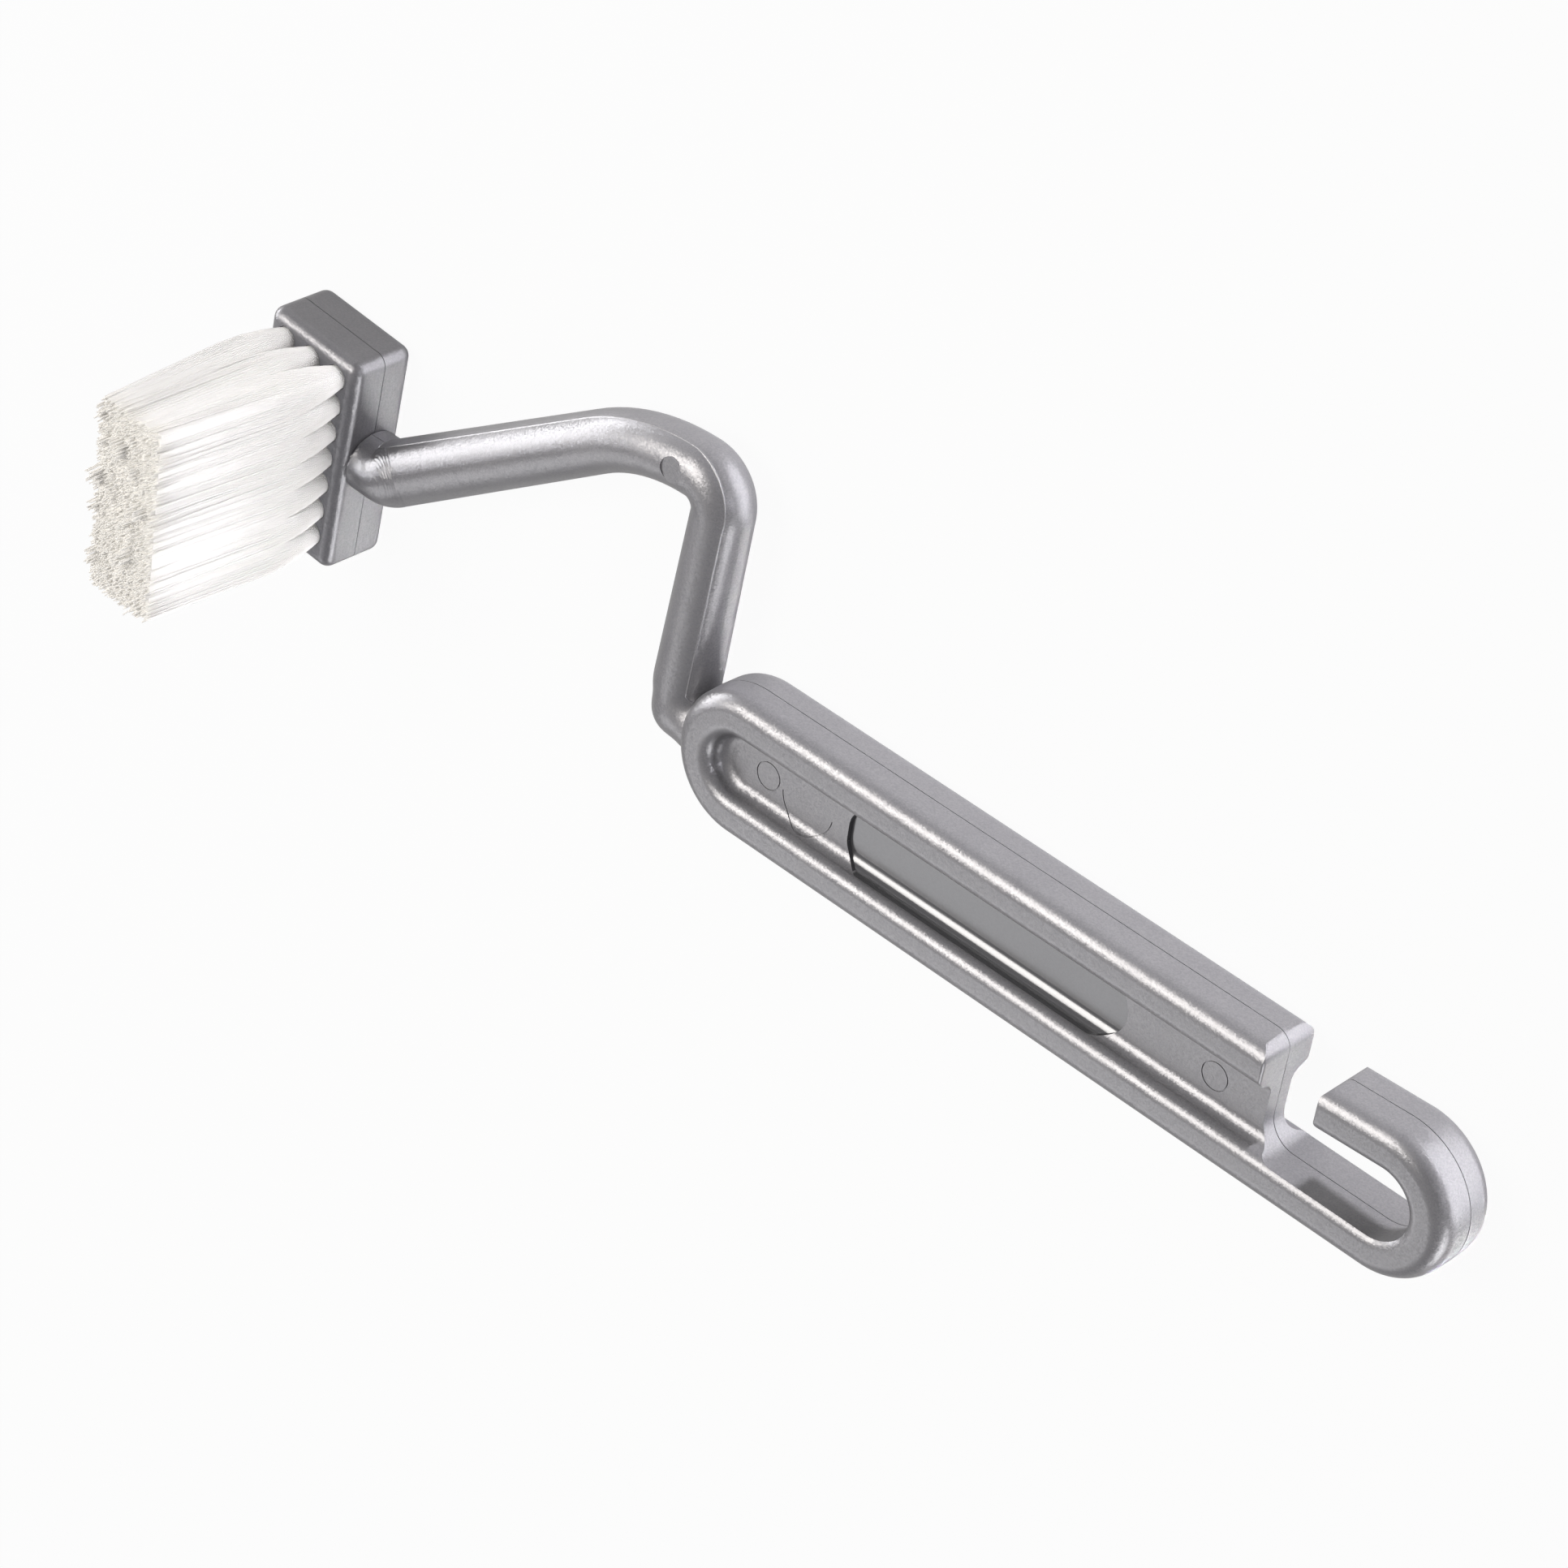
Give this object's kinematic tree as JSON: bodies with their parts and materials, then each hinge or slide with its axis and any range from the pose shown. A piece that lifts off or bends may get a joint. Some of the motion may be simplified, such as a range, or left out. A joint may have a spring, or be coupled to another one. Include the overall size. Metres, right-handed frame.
{
  "type": "toilet rim brush",
  "caption": "Rim brush with a flat hooked handle, a bent rod that reaches under a bowl's rim, and a block of stapled bristle tufts on one face of its head.",
  "frame": {"origin": "under the middle of the brush's box, on the surface it lies on", "axes": "+X along the handle towards its hook, +Y towards the hook's mouth and the rod's top corner, +Z out through the bristle tips; the brush lies on its back"},
  "size_m": [0.2656, 0.0652, 0.0522],
  "materials": {
    "silver_plastic": "satin silver-grey moulded plastic with fine metal flake, glossier along rounded edges",
    "bristle": "white translucent nylon filaments with cut ends",
    "anchor_wire": "drawn flat wire, bright where it was cut"
  },
  "bodies": {
    "root": {"moulded_body": "silver_plastic", "tuft_1_1": "bristle", "tuft_1_2": "bristle", "tuft_1_3": "bristle", "tuft_2_1": "bristle", "tuft_2_2": "bristle", "tuft_2_3": "bristle", "tuft_3_1": "bristle", "tuft_3_2": "bristle", "tuft_3_3": "bristle", "tuft_4_1": "bristle", "tuft_4_2": "bristle", "tuft_4_3": "bristle", "tuft_5_1": "bristle", "tuft_5_2": "bristle", "tuft_5_3": "bristle", "tuft_6_1": "bristle", "tuft_6_2": "bristle", "tuft_6_3": "bristle", "tuft_7_1": "bristle", "tuft_7_2": "bristle", "tuft_7_3": "bristle", "anchor_1_1": "anchor_wire", "anchor_1_2": "anchor_wire", "anchor_1_3": "anchor_wire", "anchor_2_1": "anchor_wire", "anchor_2_2": "anchor_wire", "anchor_2_3": "anchor_wire", "anchor_3_1": "anchor_wire", "anchor_3_2": "anchor_wire", "anchor_3_3": "anchor_wire", "anchor_4_1": "anchor_wire", "anchor_4_2": "anchor_wire", "anchor_4_3": "anchor_wire", "anchor_5_1": "anchor_wire", "anchor_5_2": "anchor_wire", "anchor_5_3": "anchor_wire", "anchor_6_1": "anchor_wire", "anchor_6_2": "anchor_wire", "anchor_6_3": "anchor_wire", "anchor_7_1": "anchor_wire", "anchor_7_2": "anchor_wire", "anchor_7_3": "anchor_wire"}
  },
  "joints": []
}
